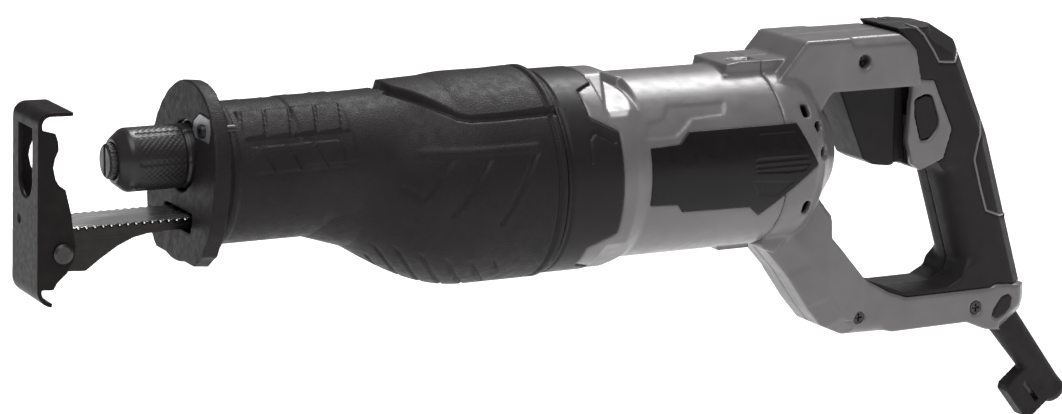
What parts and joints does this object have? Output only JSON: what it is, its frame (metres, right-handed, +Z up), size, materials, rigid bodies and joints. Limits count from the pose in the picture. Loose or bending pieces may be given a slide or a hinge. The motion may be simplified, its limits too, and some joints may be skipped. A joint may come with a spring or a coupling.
{
  "type": "reciprocating saw",
  "caption": "Corded reciprocating saw with tilting shoe, quick-release blade chuck, wobble drive, barrel motor and closed D-handle with trigger.",
  "frame": {"origin": "mouth of the blade slot, on the spindle's axis, at mid stroke", "axes": "+X from the nose to the handle along the spindle, +Z up, the side with the lock button is -Y"},
  "size_m": [0.5293, 0.0928, 0.1998],
  "materials": {
    "black_rubber": "moulded rubber, fine matt texture",
    "grip_rubber": "soft moulded rubber, matt",
    "black_steel": "black lacquered sheet steel, semi-gloss",
    "arm_steel": "sheet steel, bright on top, blackened on the sides",
    "bright_steel": "turned and ground steel",
    "dark_steel": "black-oxide steel",
    "chuck_black": "black hard coating, satin",
    "felt": "pressed felt",
    "bronze": "sintered bronze",
    "cast_alloy": "die-cast, satin",
    "black_plastic": "glass-filled polyamide, satin",
    "panel_black": "moulded, semi-gloss",
    "grey_plastic": "glass-filled polyamide, mid grey, satin",
    "trigger_plastic": "moulded, satin",
    "natural_plastic": "acetal",
    "lamination": "stamped laminations",
    "copper": "enamelled wire and drawn copper",
    "brass": "drawn",
    "carbon": "pressed graphite"
  },
  "bodies": {
    "housing": {"arm_clamp_plate": "bright_steel", "arm_clamp_screws": "dark_steel", "felt_seal": "felt", "front_bush": "bronze", "rear_bush": "bronze", "nose_boot": "black_rubber", "nose_plate": "cast_alloy", "nose_screw": "dark_steel", "gearbox_housing": "cast_alloy", "bearing_plate": "cast_alloy", "gearbox_screws": "dark_steel", "front_collar": "black_plastic", "layshaft_front_bearing": "bright_steel", "layshaft_rear_bearing": "bright_steel", "motor_front_bearing": "bright_steel", "motor_rear_bearing": "bright_steel", "stator_core": "lamination", "field_coils": "copper", "fan_baffle": "black_plastic", "brush_holders": "brass", "carbon_brushes": "carbon", "brush_springs": "bright_steel", "motor_housing": "grey_plastic", "side_panel_left": "panel_black", "side_panel_right": "panel_black", "handle_left": "grey_plastic", "handle_right": "grey_plastic", "grip_cover_left": "grip_rubber", "grip_cover_right": "grip_rubber", "handle_screws": "dark_steel", "trigger_pin": "bright_steel", "switch_module": "black_plastic", "lock_spring": "bright_steel", "cable_clamp": "black_plastic", "strain_relief": "black_rubber"},
    "arm": {"shoe_arm": "arm_steel", "shoe_rivet": "dark_steel"},
    "shoe": {"shoe_plate": "black_steel"},
    "spindle": {"spindle": "bright_steel", "chuck_body": "dark_steel", "chuck_cap": "dark_steel", "chuck_pin": "bright_steel", "chuck_spring": "bright_steel", "sleeve_circlip": "dark_steel"},
    "sleeve": {"chuck_sleeve": "chuck_black"},
    "wobble": {"wobble_ring": "bright_steel"},
    "layshaft": {"layshaft": "bright_steel", "layshaft_gear": "bright_steel", "wobble_drum": "bright_steel", "wobble_balls": "bright_steel"},
    "armature": {"armature_shaft": "bright_steel", "drive_pinion": "bright_steel", "armature_core": "lamination", "armature_winding": "copper", "commutator": "copper", "cooling_fan": "black_plastic"},
    "trigger": {"trigger": "trigger_plastic"},
    "plunger": {"switch_plunger": "natural_plastic"},
    "lock_button": {"lock_button": "trigger_plastic"}
  },
  "joints": [
    {"name": "armature_spin", "type": "hinge", "parent": "housing", "child": "armature", "pos_m": [0.2, 0, -0.02], "axis": [1, 0, 0], "continuous": true},
    {"name": "layshaft_spin", "type": "hinge", "parent": "housing", "child": "layshaft", "pos_m": [0.15, 0, -0.0409], "axis": [1, 0, 0], "continuous": true},
    {"name": "spindle_stroke", "type": "slide", "parent": "housing", "child": "spindle", "axis": [1, 0, 0], "range_m": [-0.014, 0.014]},
    {"name": "wobble_tilt", "type": "hinge", "parent": "housing", "child": "wobble", "pos_m": [0.15, 0, -0.0409], "axis": [0, 1, 0], "range_deg": [-20.5, 20.5]},
    {"name": "sleeve_twist", "type": "hinge", "parent": "spindle", "child": "sleeve", "pos_m": [0.02, 0, 0], "axis": [1, 0, 0], "range_deg": [0, 60], "stiffness_Nm_per_rad": 0.4},
    {"name": "arm_extend", "type": "slide", "parent": "housing", "child": "arm", "axis": [1, 0, 0], "range_m": [-0.015, 0.01]},
    {"name": "shoe_tilt", "type": "hinge", "parent": "arm", "child": "shoe", "pos_m": [-0.0246, 0, -0.0337], "axis": [0, 1, 0], "range_deg": [-30, 8]},
    {"name": "trigger_pull", "type": "hinge", "parent": "housing", "child": "trigger", "pos_m": [0.362, 0, 0.016], "axis": [0, -1, 0], "range_deg": [0, 9], "stiffness_Nm_per_rad": 1.2, "springref_deg": -5.73},
    {"name": "plunger_travel", "type": "slide", "parent": "housing", "child": "plunger", "axis": [0, 0, 1], "range_m": [0, 0.0036]},
    {"name": "lock_press", "type": "slide", "parent": "housing", "child": "lock_button", "axis": [0, 1, 0], "range_m": [0, 0.0025], "stiffness_N_per_m": 400, "springref_m": -0.001, "deforming": ["lock_spring"]}
  ],
  "couplings": [
    {"joint": "layshaft_spin", "follows": "armature_spin", "ratio": -0.2381},
    {"joint": "wobble_tilt", "follows": "spindle_stroke", "rad_per_m": 25},
    {"joint": "plunger_travel", "follows": "trigger_pull", "m_per_rad": 0.0216}
  ]
}
